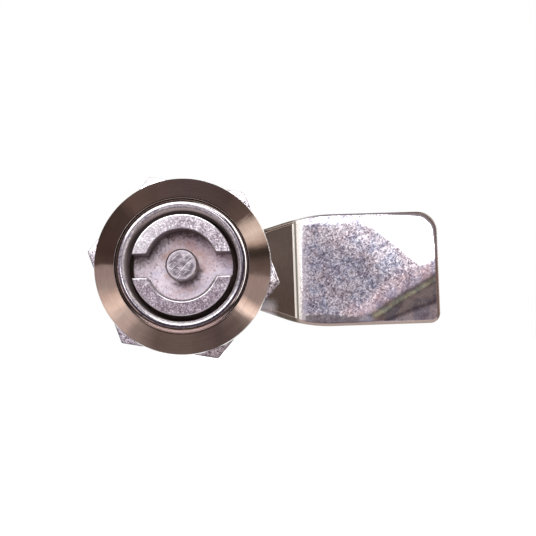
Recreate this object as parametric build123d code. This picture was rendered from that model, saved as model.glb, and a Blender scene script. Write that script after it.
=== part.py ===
from build123d import *
import os
from math import cos, hypot, radians, tan

# Quarter-turn cam lock. The lock axis is Y and the face looks toward -Y. The origin is on that
# axis, in the flat underside of the flange that the panel bears on. The closed cam points to +X.

# flange and raised bead round the key opening
flange_radius = 14.0
rim_height = 1.0
rim_round = 0.2
cone_height = 3.4
ledge_width = 0.45
bead_inner_radius = 8.75
bead_width = 1.3
bead_height = 5.0
bead_round = 0.64
bead_foot_round = 0.3
bead_outer_radius = bead_inner_radius + bead_width
cone_top_radius = bead_outer_radius + ledge_width

# threaded barrel, M22 x 1.5 with two flats against turning in the panel
barrel_radius = 11.0
barrel_length = 18.0
barrel_flats = 20.0
barrel_end_chamfer = 0.7

# recess round the barrel for the flange gasket
recess_outer_radius = 13.0
recess_depth = 0.8
gasket_side_clearance = 0.05
gasket_thickness = 1.05

# clearances that the moving fits are made with
running_clearance = 0.06
shoulder_clearance = 0.05
thread_clearance = 0.05
square_clearance = 0.05
stop_clearance = 0.25
hub_clearance = 0.3
washer_clearance = 0.15
insert_gap = 0.85

# insert turned by the double-bit key
insert_radius = bead_inner_radius - insert_gap
insert_sunk = 0.6
insert_front = insert_sunk - bead_height
insert_edge_round = 0.2
key_well_radius = 5.6
key_well_depth = 5.8
key_slot_width = 3.6
key_slot_corner = 0.35
key_pin_radius = 2.5
key_pin_chamfer = 0.25
well_floor = insert_front + key_well_depth
floor_thickness = 0.9
ring_groove_width = 1.7
land_length = 1.2
ring_groove_front = well_floor + floor_thickness
ring_groove_back = ring_groove_front + ring_groove_width
head_back = ring_groove_back + land_length
stem_radius = 6.0
square_across = 8.0
square_corner = 0.7
square_short = 0.2
tapped_hole_depth = 12.0

# rubber ring in the insert's groove
ring_section = 1.45

# stop crescent on the barrel's end, which the cam's neck turns between
stop_width = 2.3
stop_short = 0.2

# cam pressed from plate and cranked toward the rear
plate = 3.0
cam_lift = 0.1
cam_length = 44.8
cam_half_width = 10.1
neck_half_width = 6.25
neck_ends_at = 10.4
shoulder_at = 21.1
shoulder_round = 25.0
neck_round = 8.0
hub_radius = 7.2
tip_round_upper = 3.6
tip_round_lower = 1.8
crank_starts_at = 12.95
crank_height = 5.0
crank_angle = 38.0
bend_inner_radius = 2.0
cam_edge_round = 0.7

# nut and toothed lock washer on the barrel
nut_across = 27.0
nut_thickness = 5.5
nut_front = 2.3
nut_corner_angle = -11.0
nut_chamfer_angle = 25.0
nut_countersink = 0.4
lock_washer_thickness = 0.9
lock_washer_inside_seat = 0.2
lock_washer_teeth = 20
tooth_gap_radius = 0.55

# hex screw M6 with flat and spring washer behind the cam
screw_radius = 2.95
screw_clearance = 0.05
screw_length = 12.0
screw_head_across = 10.0
screw_head_height = 4.0
screw_head_chamfer_angle = 30.0
screw_head_turn = 12.0
screw_tip_chamfer = 0.5
flat_washer_radius = 6.0
flat_washer_play = 0.25
flat_washer_thickness = 1.6
spring_washer_radius = 5.9
spring_washer_play = 0.15
spring_washer_thickness = 1.6
spring_washer_cut = 0.5
spring_washer_cut_angle = 20.0

# places along the axis that several parts share
cam_front = barrel_length + cam_lift
cam_back = cam_front + plate
flat_washer_back = cam_back + flat_washer_thickness
spring_washer_back = flat_washer_back + spring_washer_thickness


def turned(points):
    """A solid turned about the lock axis from (radius, place along the axis) points."""
    return revolve(make_face(Polyline(*points, close=True)), Axis.Y)


def disc(radius, start, end):
    """A plain cylinder on the lock axis between two places along it."""
    return turned([(0, start), (radius, start), (radius, end), (0, end)])


def ring(inner, outer, start, end):
    """A plain ring about the lock axis between two places along it."""
    return turned([(inner, start), (outer, start), (outer, end), (inner, end)])


def block(x_from, x_to, y_from, y_to, z_from, z_to):
    """A box between two places along each axis."""
    middle = ((x_from + x_to) / 2, (y_from + y_to) / 2, (z_from + z_to) / 2)
    return Pos(*middle) * Box(x_to - x_from, y_to - y_from, z_to - z_from)


def seen_from_front(face, start, end):
    """Extrude a face drawn in X and Z between two places along the lock axis."""
    plane = Plane(origin=(0, end, 0), x_dir=(1, 0, 0), z_dir=(0, -1, 0))
    return extrude(plane * face, end - start)


def corners_near(face, spots):
    """The corners of a flat face that lie nearest the given spots."""
    return [face.vertices().sort_by_distance((*spot, 0))[0] for spot in spots]


def hexagon(across, start, end, corner_angle=0.0):
    """A six-sided prism with one corner at the given angle from +X toward +Z."""
    face = RegularPolygon(across / 2, 6, major_radius=False)
    first = face.vertices().sort_by(Axis.X)[-1]
    level = Vector(first.X, first.Y).get_signed_angle(Vector(1, 0), Vector(0, 0, 1))
    return seen_from_front(Rot(0, 0, corner_angle + level) * face, start, end)


def chamfer_line(across, back, angle):
    """Where a cone that trims a hexagon's rear corners meets a radius just outside them."""
    outside = across / 2 / cos(radians(30)) + 1
    return outside, back - (outside - across / 2) * tan(radians(angle))


def flange_and_barrel():
    """Coned flange, raised bead and stepped bore, with the barrel still round."""
    step = head_back + shoulder_clearance
    stem_bore = stem_radius + running_clearance
    bead_edge_out = (bead_outer_radius, -bead_height)
    bead_edge_in = (bead_inner_radius, -bead_height)
    bead_foot = (bead_outer_radius, -cone_height)
    rim_edge = (flange_radius, -rim_height)
    outline = [
        (bead_inner_radius, step),
        bead_edge_in,
        bead_edge_out,
        bead_foot,
        (cone_top_radius, -cone_height),
        rim_edge,
        (flange_radius, 0),
        (recess_outer_radius, 0),
        (recess_outer_radius, -recess_depth),
        (barrel_radius, -recess_depth),
        (barrel_radius, barrel_length - barrel_end_chamfer),
        (barrel_radius - barrel_end_chamfer, barrel_length),
        (stem_bore, barrel_length),
        (stem_bore, step),
    ]
    face = make_face(Polyline(*outline, close=True))
    face = fillet(corners_near(face, [bead_edge_out, bead_edge_in]), bead_round)
    face = fillet(corners_near(face, [bead_foot]), bead_foot_round)
    face = fillet(corners_near(face, [rim_edge]), rim_round)
    return revolve(face, Axis.Y)


def barrel_flat(side):
    """What is cut away to leave one flat along the barrel, on the given side of the axis."""
    far = barrel_radius + 1
    near, away = sorted([side * barrel_flats / 2, side * far])
    return block(near, away, 0, barrel_length + 1, -far, far)


def stop_crescent():
    """Raised end stop, open over the quarter turn from +X to +Z that the neck sweeps."""
    stop = neck_half_width + stop_clearance
    back = cam_back - stop_short
    reach = barrel_radius
    inner = hub_radius + hub_clearance
    crescent = ring(inner, inner + stop_width, barrel_length, back)
    crescent -= block(0, reach, barrel_length - 1, back + 1, -stop, reach)
    crescent -= block(-stop, reach, barrel_length - 1, back + 1, 0, reach)
    return crescent


def housing():
    """One casting: flange, flatted barrel and end stop."""
    body = flange_and_barrel() - barrel_flat(1) - barrel_flat(-1)
    return body + stop_crescent()


def insert_blank():
    """Turned outline of the insert, with the groove for its rubber ring."""
    groove = bead_inner_radius - running_clearance - ring_section
    land = bead_inner_radius - running_clearance
    outline = [
        (0, insert_front),
        (insert_radius, insert_front),
        (insert_radius, ring_groove_front),
        (groove, ring_groove_front),
        (groove, ring_groove_back),
        (land, ring_groove_back),
        (land, head_back),
        (stem_radius, head_back),
        (stem_radius, cam_front),
        (0, cam_front),
    ]
    return turned(outline)


def key_way():
    """The space the key fills: a round well with a slot to each side."""
    across = Circle(key_well_radius) + Rectangle(4 * insert_radius, key_slot_width)
    half = key_slot_width / 2
    meets = (key_well_radius**2 - half**2) ** 0.5
    corners = [(side * meets, up * half) for side in (1, -1) for up in (1, -1)]
    across = fillet(corners_near(across, corners), key_slot_corner)
    return seen_from_front(across, insert_front - 1, well_floor)


def key_pin():
    """Centre pin that the key's tube slides over, level with the insert's face."""
    tip = insert_front
    return turned(
        [
            (0, tip),
            (key_pin_radius - key_pin_chamfer, tip),
            (key_pin_radius, tip + key_pin_chamfer),
            (key_pin_radius, well_floor),
            (0, well_floor),
        ]
    )


def insert():
    """Turned blank with the key way sunk in its face and a square for the cam at its end."""
    end = cam_back - square_short
    square = RectangleRounded(square_across, square_across, square_corner)
    body = insert_blank() - key_way()
    lips = [f for f in body.faces() if abs(f.center().Y - insert_front) < 0.01]
    body = fillet([e for f in lips for e in f.edges()], insert_edge_round) + key_pin()
    body += seen_from_front(square, cam_front, end)
    return body - disc(screw_radius + screw_clearance, end - tapped_hole_depth, end)


def insert_ring():
    """Rubber ring lying in the insert's groove."""
    middle = bead_inner_radius - running_clearance - ring_section / 2
    place = (ring_groove_front + ring_groove_back) / 2
    return revolve(Pos(middle, place) * Circle(ring_section / 2), Axis.Y)


def flange_gasket():
    """Flat rubber ring in the flange's recess, a little proud of the flange."""
    inner = barrel_radius + gasket_side_clearance
    outer = recess_outer_radius - gasket_side_clearance
    return ring(inner, outer, -recess_depth, gasket_thickness - recess_depth)


def cam_outline():
    """The cam's blank: round hub, neck and shoulders widening to a plain arm."""
    outline = [
        (0, -neck_half_width),
        (neck_ends_at, -neck_half_width),
        (shoulder_at, -cam_half_width),
        (cam_length, -cam_half_width),
        (cam_length, cam_half_width),
        (shoulder_at, cam_half_width),
        (neck_ends_at, neck_half_width),
        (0, neck_half_width),
    ]
    arm = make_face(Polyline(*outline, close=True))
    arm = fillet(corners_near(arm, [outline[1], outline[6]]), neck_round)
    arm = fillet(corners_near(arm, [outline[2], outline[5]]), shoulder_round)
    arm = fillet(corners_near(arm, [outline[3]]), tip_round_lower)
    arm = fillet(corners_near(arm, [outline[4]]), tip_round_upper)
    hole = square_across + 2 * square_clearance
    return arm + Circle(hub_radius) - Rectangle(hole, hole)


def cam_side():
    """The cam seen from its edge: flat hub, sloping crank and flat arm of one thickness."""
    run = crank_height / tan(radians(crank_angle))
    shift = plate * tan(radians(crank_angle / 2))
    far = cam_length + 1
    front_bends = [(crank_starts_at, 0), (crank_starts_at + run, crank_height)]
    back_bends = [(x - shift, y + plate) for x, y in front_bends]
    outline = [(-hub_radius - 1, 0), *front_bends, (far, crank_height)]
    outline += [(far, crank_height + plate), *back_bends[::-1], (-hub_radius - 1, plate)]
    face = make_face(Polyline(*outline, close=True))
    outside = bend_inner_radius + plate
    face = fillet(corners_near(face, [front_bends[0], back_bends[1]]), outside)
    face = fillet(corners_near(face, [front_bends[1], back_bends[0]]), bend_inner_radius)
    return extrude(Pos(0, cam_front, 0) * face, 2 * cam_half_width, both=True)


def cam():
    """The blank bent to its crank, with the rolled edge that the punch leaves in front."""
    back = cam_back + crank_height + 1
    body = cam_side() & seen_from_front(cam_outline(), cam_front - 1, back)
    fronts = [f for f in body.faces() if f.normal_at(f.center()).Y < -0.3]
    edges = [e for f in fronts for e in f.edges()]
    outer = [e for e in edges if hypot(e.center().X, e.center().Z) > hub_radius - 0.5]
    return fillet([e for e in outer if edges.count(e) == 1], cam_edge_round)


def lock_washer():
    """Thin washer held from turning by the barrel's flats, with teeth round its edge."""
    outer = recess_outer_radius - lock_washer_inside_seat
    hole = Circle(barrel_radius + washer_clearance)
    hole &= Rectangle(barrel_flats + 2 * washer_clearance, 3 * barrel_radius)
    face = Circle(outer) - hole
    face -= PolarLocations(outer, lock_washer_teeth) * Circle(tooth_gap_radius)
    return seen_from_front(face, nut_front - lock_washer_thickness, nut_front)


def hex_nut():
    """Flat nut with its rear corners chamfered and its bore lightly countersunk."""
    back = nut_front + nut_thickness
    bore = barrel_radius + thread_clearance
    body = hexagon(nut_across, nut_front, back, nut_corner_angle)
    outside, chamfer_end = chamfer_line(nut_across, back, nut_chamfer_angle)
    return body & turned(
        [
            (bore, nut_front + nut_countersink),
            (bore + nut_countersink, nut_front),
            (outside, nut_front),
            (outside, chamfer_end),
            (nut_across / 2, back),
            (bore + nut_countersink, back),
            (bore, back - nut_countersink),
        ]
    )


def flat_washer():
    """Plain washer under the spring washer."""
    hole = screw_radius + flat_washer_play
    return ring(hole, flat_washer_radius, cam_back, flat_washer_back)


def spring_washer():
    """Split washer pressed flat, with its slanting cut at the side away from the arm."""
    hole = screw_radius + spring_washer_play
    body = ring(hole, spring_washer_radius, flat_washer_back, spring_washer_back)
    middle = (flat_washer_back + spring_washer_back) / 2
    cut = Box(2 * spring_washer_radius, 3 * spring_washer_thickness, spring_washer_cut)
    cut = Pos(-spring_washer_radius, middle, 0) * Rot(spring_washer_cut_angle, 0, 0) * cut
    return body - cut


def hex_screw():
    """Hex-headed screw, its head chamfered at the back and its tip chamfered too."""
    start = spring_washer_back
    back = start + screw_head_height
    outside, chamfer_end = chamfer_line(screw_head_across, back, screw_head_chamfer_angle)
    head = hexagon(screw_head_across, start, back, screw_head_turn)
    head &= turned(
        [
            (0, start),
            (outside, start),
            (outside, chamfer_end),
            (screw_head_across / 2, back),
            (0, back),
        ]
    )
    tip = start - screw_length
    shank = turned(
        [
            (0, tip),
            (screw_radius - screw_tip_chamfer, tip),
            (screw_radius, tip + screw_tip_chamfer),
            (screw_radius, start),
            (0, start),
        ]
    )
    return head + shank


parts = {
    "housing": housing(),
    "insert": insert(),
    "insert_ring": insert_ring(),
    "flange_gasket": flange_gasket(),
    "lock_washer": lock_washer(),
    "hex_nut": hex_nut(),
    "cam": cam(),
    "flat_washer": flat_washer(),
    "spring_washer": spring_washer(),
    "hex_screw": hex_screw(),
}

os.makedirs("parts", exist_ok=True)
for name, shape in parts.items():
    export_step(shape, f"parts/{name}.step")
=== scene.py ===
import math

import bmesh
import bpy
import numpy as np
from mathutils import Matrix, Vector


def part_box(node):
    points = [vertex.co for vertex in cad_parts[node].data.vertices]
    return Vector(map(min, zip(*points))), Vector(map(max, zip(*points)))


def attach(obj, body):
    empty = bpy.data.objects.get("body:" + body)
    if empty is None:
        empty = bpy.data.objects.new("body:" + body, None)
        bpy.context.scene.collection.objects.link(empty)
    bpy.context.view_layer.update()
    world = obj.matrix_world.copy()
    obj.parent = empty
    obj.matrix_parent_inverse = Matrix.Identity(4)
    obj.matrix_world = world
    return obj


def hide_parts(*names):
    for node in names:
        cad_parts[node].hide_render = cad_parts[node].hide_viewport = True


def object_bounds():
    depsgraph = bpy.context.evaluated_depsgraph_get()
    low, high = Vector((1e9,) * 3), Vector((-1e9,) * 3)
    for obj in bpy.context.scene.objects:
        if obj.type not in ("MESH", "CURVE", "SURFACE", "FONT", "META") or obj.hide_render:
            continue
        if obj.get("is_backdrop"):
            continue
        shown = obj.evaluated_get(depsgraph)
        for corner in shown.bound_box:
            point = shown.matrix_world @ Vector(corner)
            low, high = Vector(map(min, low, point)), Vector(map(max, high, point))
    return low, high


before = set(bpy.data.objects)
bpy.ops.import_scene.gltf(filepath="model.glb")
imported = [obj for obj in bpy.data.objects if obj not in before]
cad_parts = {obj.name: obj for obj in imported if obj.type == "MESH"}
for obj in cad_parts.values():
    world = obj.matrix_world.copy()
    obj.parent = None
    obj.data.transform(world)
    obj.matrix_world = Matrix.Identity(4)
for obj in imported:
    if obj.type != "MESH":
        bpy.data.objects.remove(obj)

cad_low, cad_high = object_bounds()
mm = 0.001

# Housing: a zinc die casting in one piece, with a coned flange, a raised bead, a threaded barrel
# with two flats and a crescent end stop. The flange is turned and polished, then the whole
# casting is chromed; it is pushed through the panel and held by the nut.
low, high = (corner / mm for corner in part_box("housing"))
bead_top, flange_radius, stop_top = low.y, high.x, high.y
bore_radius, bead_round, bead_width = 8.75, 0.64, 1.3
bead_foot, groove_floor = bore_radius + bead_width, -3.15
cone_top, rim = (10.58, -3.369), (13.76, -1.185)
barrel_radius, barrel_half_flats, barrel_end, step_at = 11.0, 10.0, 18.0, 5.25
stem_bore, recess_outer, recess_depth = 6.06, 13.0, 0.8
groove_round, edge_round, rim_round, recess_round = 0.2, 0.06, 0.12, 0.1
thread_pitch, thread_depth = 1.5, 0.9
run_out_from, run_out_over, barrel_chamfer = 0.6, 0.8, 0.7
steps_round = 384


def arc(radius, y, size, start, end, steps=8):
    """Points of a rounded edge: centre, radius of the round, and angles from outward to rearward."""
    turn = np.radians(np.linspace(start, end, steps))
    return [(radius + size * math.cos(a), y + size * math.sin(a)) for a in turn]


flange = [(bore_radius, step_at), (bore_radius, bead_top + 0.7)]
flange += arc(bore_radius + bead_round, bead_top + bead_round, bead_round, 180, 270, 14)
flange += arc(bead_foot - bead_round, bead_top + bead_round, bead_round, 270, 360, 14)
flange += arc(bead_foot + groove_round, groove_floor - groove_round, groove_round, 180, 75, 7)
flange += arc(10.5, -3.36, edge_round, 200, 305, 5)
flange += [cone_top, rim] + arc(13.79, -1.09, edge_round, -55.6, -10, 4) + [(13.87, -0.98), (13.99, -0.3)]
flange += [(flange_radius, -rim_round)] + arc(flange_radius - rim_round, -rim_round, rim_round, 0, 90, 5)
flange += [(recess_outer + recess_round, 0)]
flange += arc(recess_outer + recess_round, -recess_round, recess_round, 90, 180, 4)
flange += [(recess_outer, -recess_depth), (barrel_radius, -recess_depth), (barrel_radius, 0)]


def circles(profile, steps=steps_round):
    """Rings of points turned about the lock axis from (radius, place along the axis) pairs."""
    turn = np.linspace(0, 2 * math.pi, steps, endpoint=False)
    return [np.stack([r * np.cos(turn), np.full(steps, y), -r * np.sin(turn)], 1) for r, y in profile]


def stitched(name, rings, closed=False, shift=0, caps=False):
    """A mesh skinned over rings of points in mm; shift is how many rings on the seam joins."""
    rings = np.array(rings, float)
    count, around = rings.shape[:2]
    faces = []
    for j in range(count if closed else count - 1):
        for i in range(around):
            step = shift if i == around - 1 else 0
            k = (j + 1) % count
            if max(j, k) + step < count:
                n = (i + 1) % around
                faces.append((j * around + i, (j + step) * around + n, (k + step) * around + n,
                              k * around + i))
    if caps:
        faces += [tuple(range(around)), tuple(range((count - 1) * around, count * around))]
    mesh = bpy.data.meshes.new(name)
    mesh.from_pydata((rings.reshape(-1, 3) * mm).tolist(), [], faces)
    obj = bpy.data.objects.new(name, mesh)
    bpy.context.scene.collection.objects.link(obj)
    return obj


def threaded(name, start, end, pitch, radius, steps=steps_round, rows=8):
    """A threaded surface between two places; radius is found from way along the pitch, y, turn."""
    turn = np.linspace(0, 2 * math.pi, steps, endpoint=False)
    rings = []
    for n in range(rows * (int((end - start) / pitch) + 3)):
        y = np.clip(start - pitch + n * pitch / rows + pitch * turn / (2 * math.pi), start, end)
        way = (y - pitch * turn / (2 * math.pi)) % pitch
        r = radius(way, y, turn)
        rings.append(np.stack([r * np.cos(turn), y, -r * np.sin(turn)], 1))
    return stitched(name, rings, shift=rows), rings


def thread_form(way, major, depth, pitch):
    """Radius of an outside thread: a flat crest, 60 degree flanks and a narrow root."""
    crest, flank = pitch / 8, depth * math.tan(math.radians(30))
    return major - np.interp(way, [0, crest, crest + flank, pitch - flank, pitch], [0, 0, depth, depth, 0])


def barrel_surface(way, y, turn):
    r = thread_form(way, barrel_radius, thread_depth, thread_pitch)
    cut = np.clip((y - run_out_from) / run_out_over, 0, 1)  # the thread runs out under the flange
    r = barrel_radius + (r - barrel_radius) * cut
    r = np.minimum(r, barrel_radius - barrel_chamfer + (barrel_end - y))
    return np.minimum(r, barrel_half_flats / np.maximum(np.abs(np.cos(turn)), 1e-6))


def crescent_section(share):
    """One section of the end stop, its edges a little rounded; share runs from end to end."""
    stop_foot, soft = barrel_end - 0.1, 0.15
    inner_arc, outer_arc = (7.5, 150.07, 299.93), (9.8, 131.55, 318.45)  # radius, first and last angle
    corners = []
    for r, first, last in (inner_arc, outer_arc):
        a = math.radians(first + (last - first) * share)
        corners.append(np.array([r * math.cos(a), 0, r * math.sin(a)]))
    inner, outer = corners
    out = (outer - inner) / np.linalg.norm(outer - inner)
    back = np.array([0, 1.0, 0])
    return [inner + back * stop_foot, outer + back * stop_foot, outer + back * (stop_top - soft),
            outer - out * soft * 0.3 + back * (stop_top - soft * 0.3), outer - out * soft + back * stop_top,
            inner + out * soft + back * stop_top, inner + out * soft * 0.3 + back * (stop_top - soft * 0.3),
            inner + back * (stop_top - soft)]


def crisp(obj, angle):
    """Smooth shading, with edges sharper than the angle in degrees left crisp."""
    obj.data.polygons.foreach_set("use_smooth", [True] * len(obj.data.polygons))
    obj.data.set_sharp_from_angle(angle=math.radians(angle))


def joined(name, objs, sharp=32):
    """One clean mesh from several, smooth but for edges sharper than the angle."""
    work = bmesh.new()
    for obj in objs:
        work.from_mesh(obj.data)
        bpy.data.objects.remove(obj)
    bmesh.ops.remove_doubles(work, verts=work.verts, dist=0.0005 * mm)
    bmesh.ops.dissolve_degenerate(work, edges=work.edges, dist=0.0002 * mm)
    bmesh.ops.recalc_face_normals(work, faces=work.faces)
    mesh = bpy.data.meshes.new(name)
    work.to_mesh(mesh)
    work.free()
    obj = bpy.data.objects.new(name, mesh)
    bpy.context.scene.collection.objects.link(obj)
    crisp(obj, sharp)
    return obj


barrel, rows = threaded("barrel", 0, barrel_end, thread_pitch, barrel_surface)
front = stitched("flange", circles(flange) + [rows[0]])
tail = circles([(stem_bore, barrel_end), (stem_bore, step_at), (bore_radius, step_at)])
tail = stitched("tail", [rows[-1]] + tail)
stop = stitched("stop", [crescent_section(share) for share in np.linspace(0, 1, 90)], caps=True)
housing = joined("housing_casting", [front, barrel, tail, stop])


def linear(hex_colour):
    """An sRGB hex colour as the linear colour that shaders take."""
    parts = [int(hex_colour[i : i + 2], 16) / 255 for i in (1, 3, 5)]
    return (*[c / 12.92 if c < 0.04045 else ((c + 0.055) / 1.055) ** 2.4 for c in parts], 1)


def add(tree, kind, *values, stops=(), **named):
    """Adds a node and gives its output in use, or all of them where there are several.

    Values fill the inputs in use in order, or go by name, with _ for a space. Names in small
    letters are the node's settings, and stops are a ramp's places and hex colours.
    """
    node = tree.nodes.new("ShaderNode" + kind)
    for key in [key for key in named if key.islower()]:
        setattr(node, key, named.pop(key))
    while stops and len(node.color_ramp.elements) < len(stops):
        node.color_ramp.elements.new(1)
    for mark, (place, colour) in zip(node.color_ramp.elements if stops else (), stops):
        mark.position, mark.color = place, linear(colour)
    pairs = [*zip([place for place in node.inputs if place.enabled], values)]
    pairs += [(node.inputs[key.replace("_", " ")], value) for key, value in named.items()]
    for place, value in pairs:
        if isinstance(value, bpy.types.NodeSocket):
            tree.links.new(value, place)
        else:
            place.default_value = linear(value) if isinstance(value, str) else value
    in_use = [out for out in node.outputs if out.enabled]
    return in_use[0] if len(in_use) == 1 else node.outputs


def material_named(name):
    """A new node material, its empty tree and its coordinates in millimetres."""
    material = bpy.data.materials.new(name)
    material.use_nodes = True
    tree = material.node_tree
    tree.nodes.clear()
    place = add(tree, "TexCoord")["Object"]
    return material, tree, add(tree, "VectorMath", place, 1 / mm, operation="SCALE")


def finished(obj, material, body, slot, *nodes):
    """Gives a piece its material, the body it rides on and the nodes it stands for; the slot is not used."""
    obj.data.materials.clear()
    obj.data.materials.append(material)
    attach(obj, body)
    if nodes:
        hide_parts(*nodes)


# Settings that many of the nodes below share.
smooth = {"interpolation_type": "SMOOTHSTEP"}
mixed = {"data_type": "RGBA"}
tinted = {"data_type": "RGBA", "blend_type": "MULTIPLY"}

# Chromed zinc, turned and polished: fine rings from the tool draw the reflections out along the
# radius, so light and dark meet in sectors on the cone. The bead's foot is painted dark as shade,
# darkest on the left, with painted light along its lower side.
chrome, tree, place = material_named("chromed_zinc_turned_and_polished")
ring_pitch = 0.09  # mm between tool marks, coarser than real ones so that they show
parts = add(tree, "SeparateXYZ", place)
radius = add(tree, "VectorMath", place, (1, 0, 1), operation="MULTIPLY")
radius = add(tree, "VectorMath", radius, operation="LENGTH")
behind = add(tree, "MapRange", parts[1], step_at + 0.1, step_at + 0.2, 0.0, 20.0)
radius = add(tree, "Math", radius, behind, operation="ADD")  # keeps the bead's wear off the rear end
sweep = add(tree, "Math", parts[2], parts[0], operation="ARCTAN2")
marks = add(tree, "CombineXYZ", add(tree, "Math", radius, ring_pitch, operation="DIVIDE"),
            add(tree, "Math", parts[1], ring_pitch, operation="DIVIDE"),
            add(tree, "Math", sweep, 1.3, operation="MULTIPLY"))
rings = add(tree, "TexNoise", marks, 1.0, 3.0, 0.6)[0]
cloud = add(tree, "TexNoise", place, 0.35, 4.0, 0.55)[0]
tone = add(tree, "ValToRGB", rings, stops=[(0.3, "#c4beba"), (0.7, "#d8d4d2")])[0]
dull = add(tree, "MapRange", cloud, 0.4, 0.7, 0.0, 0.3, **smooth)
tone = add(tree, "Mix", dull, tone, "#aaa29e", **mixed)
mottle = add(tree, "TexNoise", place, 2.2, 6.0, 0.75)[0]
mottle = add(tree, "ValToRGB", mottle, stops=[(0.38, "#9f9db4"), (0.48, "#e6e4ee"), (0.58, "#ffffff")])[0]
on_bead = add(tree, "MapRange", radius, bead_foot, bead_foot - 0.2)
tone = add(tree, "Mix", on_bead, tone, mottle, **tinted)
# Painted shade in the groove at the bead's foot, darkest on the left, and painted light on its lower side.
groove = add(tree, "MapRange", radius, bead_foot - 0.12, bead_foot + 0.02, **smooth)
cone_side = add(tree, "MapRange", radius, cone_top[0] + 0.02, cone_top[0] - 0.14, **smooth)
groove = add(tree, "Math", groove, cone_side, operation="MULTIPLY")
ahead = add(tree, "MapRange", parts[1], 0.0, -1.0)
groove = add(tree, "Math", groove, ahead, operation="MULTIPLY")
groove_lit_below = add(tree, "MapRange", parts[2], -6.0, -10.0, **smooth)
groove_shade_and_light = add(tree, "Mix", groove_lit_below, "#5f4f49", "#fff0e8", **mixed)
groove_shade_left = add(tree, "MapRange", parts[0], -6.0, -9.0, 0.0, 0.7, **smooth)
in_foot = add(tree, "MapRange", radius, 10.35, 10.2, **smooth)
groove_shade_left = add(tree, "Math", groove_shade_left, in_foot, operation="MULTIPLY")
groove_shade_and_light = add(tree, "Mix", groove_shade_left, groove_shade_and_light, "#2a1f1b", **mixed)
tone = add(tree, "Mix", groove, tone, groove_shade_and_light, **mixed)
brink_from = add(tree, "MapRange", radius, 10.42, 10.5)
brink_to = add(tree, "MapRange", radius, 10.8, 10.7)
brink = add(tree, "Math", brink_from, brink_to, operation="MULTIPLY")
from_middle = add(tree, "Math", parts[2], operation="ABSOLUTE")
above_and_below = add(tree, "MapRange", from_middle, 6.0, 9.5, 0.0, 0.9, **smooth)
brink = add(tree, "Math", brink, above_and_below, operation="MULTIPLY")
brink = add(tree, "Math", brink, ahead, operation="MULTIPLY")
tone = add(tree, "Mix", brink, tone, "#b0a8a6", **tinted)

# Painted shade: the bead's crown is darkened on its lower right, and the bead's inner side on the
# right. The bore behind it is greasy, so it is brown and hardly mirrors.
lower_right = add(tree, "VectorMath", place, (0.5, 0, -0.87), operation="DOT_PRODUCT")
crown = add(tree, "MapRange", radius, 9.22, 9.4, **smooth)
crown_to = add(tree, "MapRange", radius, 9.78, 9.6, **smooth)
crown = add(tree, "Math", crown, crown_to, operation="MULTIPLY")
# painted shade on the crown's lower right
painted_shade_side = add(tree, "MapRange", lower_right, -5.0, 2.0, 0.0, 0.9, **smooth)
crown = add(tree, "Math", crown, painted_shade_side, operation="MULTIPLY")
tone = add(tree, "Mix", crown, tone, "#64606d", **tinted)
rightward = add(tree, "VectorMath", place, (0.6, 0, 0.8), operation="DOT_PRODUCT")
inner_side = add(tree, "MapRange", radius, 9.12, 8.95, **smooth)
# painted shade on the bead's inner side, to the right
painted_shade_side = add(tree, "MapRange", rightward, -3.0, 2.0, 0.0, 0.7, **smooth)
inner_side = add(tree, "Math", inner_side, painted_shade_side, operation="MULTIPLY")
tone = add(tree, "Mix", inner_side, tone, "#7d7078", **tinted)
inside = add(tree, "MapRange", radius, bore_radius + 0.06, bore_radius + 0.01, **smooth)
tone = add(tree, "Mix", inside, tone, "#857571", **mixed)
bump = add(tree, "Bump", 0.03, 0.01 * mm, Height=rings)
soft = add(tree, "MapRange", cloud, 0.3, 0.7, 0.04, 0.07, **smooth)
soft = add(tree, "Math", inside, 0.4, soft, operation="MULTIPLY_ADD")
soft = add(tree, "Math", groove, 0.4, soft, operation="MULTIPLY_ADD")
metal = add(tree, "MapRange", radius, bore_radius + 0.1, bore_radius + 0.65, 0.15, 1.0, **smooth)
# Painted light: the bore's wall near its mouth glows a little, brightest at the top.
shallow = add(tree, "MapRange", parts[1], bead_top + 4.4, bead_top + 2.2, **smooth)
painted_bore_glow = add(tree, "MapRange", parts[2], 4.5, 9.0, 0.12, 0.85, **smooth)  # painted light: the bore wall glows as though lit down the gap
painted_bore_glow = add(tree, "Math", painted_bore_glow, shallow, 0.09, operation="MULTIPLY_ADD")
painted_bore_glow = add(tree, "Math", painted_bore_glow, inside, operation="MULTIPLY")
shader = add(tree, "BsdfPrincipled", Base_Color=tone, Metallic=metal, Roughness=soft, Normal=bump,
             Emission_Color="#8a7b7c", Emission_Strength=painted_bore_glow)
add(tree, "OutputMaterial", shader)
finished(housing, chrome, "housing", "housing_chrome", "housing")

# Flange gasket: a flat nitrile rubber ring, moulded to size and pressed into the recess under the
# flange. It stands a little proud there, and the panel squeezes it flat.

# Nitrile rubber, moulded: matt and brown-black, so it reads as a dark soft line between metals.
rubber, tree, place = material_named("nitrile_rubber_moulded")
grain = add(tree, "TexNoise", place, 4.0, 5.0, 0.6)[0]  # quarter-millimetre grain of the mould
tone = add(tree, "ValToRGB", grain, stops=[(0.3, "#3d2f2a"), (0.7, "#5d4b43")])[0]
bump = add(tree, "Bump", 0.3, 0.03 * mm, Height=grain)
add(tree, "OutputMaterial", add(tree, "BsdfPrincipled", Base_Color=tone, Roughness=0.5, Normal=bump))
fit, proud, soft_edge = 0.05, 0.25, 0.1
inner, outer = barrel_radius + fit, recess_outer - fit
gasket = arc(outer - soft_edge, proud - soft_edge, soft_edge, 0, 90, 4)
gasket += arc(inner + soft_edge, proud - soft_edge, soft_edge, 90, 180, 4)
gasket += [(inner, -recess_depth), (outer, -recess_depth)]
gasket = joined("gasket_ring", [stitched("gasket", circles(gasket), closed=True)])
finished(gasket, rubber, "housing", "black_rubber", "flange_gasket")

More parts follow.
